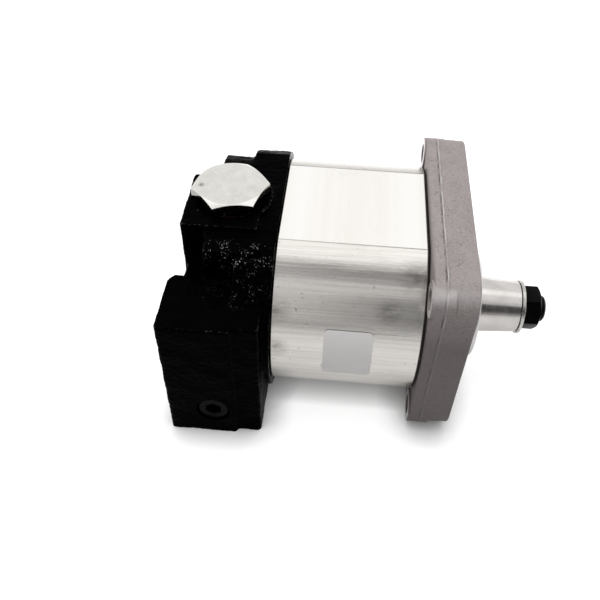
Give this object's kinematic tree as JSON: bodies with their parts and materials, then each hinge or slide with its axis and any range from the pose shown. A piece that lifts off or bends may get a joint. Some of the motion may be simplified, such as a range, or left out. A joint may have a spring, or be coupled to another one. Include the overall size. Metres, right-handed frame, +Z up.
{
  "type": "hydraulic pump",
  "caption": "External gear pump with a rectangular mounting flange, taper shaft end, extruded body and a cast rear cover that holds a valve block.",
  "frame": {"origin": "centre of the underside of the bounding box, on the surface that the pump lies on", "axes": "+X along the drive shaft, out of its keyed end; +Y from the drive shaft towards the driven gear; +Z up, towards the hexagon valve plug"},
  "size_m": [0.1688, 0.1292, 0.0972],
  "materials": {
    "cast_front_cover": "as cast, fine sandy grain",
    "body_aluminium": "extruded, milled on its flats",
    "cover_paint": "gloss black over rough casting",
    "block_aluminium": "machined",
    "ground_steel": "ground and polished",
    "washer_steel": "bright stamped",
    "zinc_plate": "zinc plated, slightly mottled",
    "black_steel": "blackened",
    "spring_steel": "drawn wire",
    "bush_bronze": "bearing bronze",
    "seal_metal": "soft copper",
    "seal_rubber": "moulded"
  },
  "bodies": {
    "housing": {"front_cover": "cast_front_cover", "pump_body": "body_aluminium", "rear_cover": "cover_paint", "front_bearing_block": "block_aluminium", "rear_bearing_block": "block_aluminium", "front_dowel_1": "ground_steel", "front_dowel_2": "ground_steel", "rear_dowel_1": "ground_steel", "rear_dowel_2": "ground_steel", "seal_retaining_ring": "washer_steel", "valve_plug": "zinc_plate", "through_bolt_1": "black_steel", "through_bolt_2": "black_steel", "through_bolt_3": "black_steel", "through_bolt_4": "black_steel", "side_plug": "black_steel", "valve_spring": "spring_steel", "drive_front_bush": "bush_bronze", "drive_rear_bush": "bush_bronze", "driven_front_bush": "bush_bronze", "driven_rear_bush": "bush_bronze", "plug_seal": "seal_metal", "side_plug_seal": "seal_metal", "shaft_seal": "seal_rubber", "front_body_seal": "seal_rubber", "rear_body_seal": "seal_rubber", "front_pressure_seal": "seal_rubber", "rear_pressure_seal": "seal_rubber"},
    "drive_shaft": {"drive_gear_shaft": "ground_steel", "woodruff_key": "ground_steel", "shaft_washer": "washer_steel", "shaft_nut": "black_steel"},
    "driven_gear": {"driven_gear_shaft": "ground_steel"},
    "poppet": {"relief_poppet": "ground_steel"}
  },
  "joints": [
    {"name": "shaft_spin", "type": "hinge", "parent": "housing", "child": "drive_shaft", "pos_m": [-0.0065, -0.01315, 0.0461], "axis": [1, 0, 0], "continuous": true},
    {"name": "driven_spin", "type": "hinge", "parent": "housing", "child": "driven_gear", "pos_m": [-0.0065, 0.01985, 0.0461], "axis": [1, 0, 0], "continuous": true},
    {"name": "poppet_lift", "type": "slide", "parent": "housing", "child": "poppet", "axis": [0, 0, 1], "range_m": [0, 0.004], "stiffness_N_per_m": 6000, "springref_m": -0.006, "deforming": ["valve_spring"]}
  ],
  "couplings": [
    {"joint": "driven_spin", "follows": "shaft_spin", "ratio": -1}
  ]
}
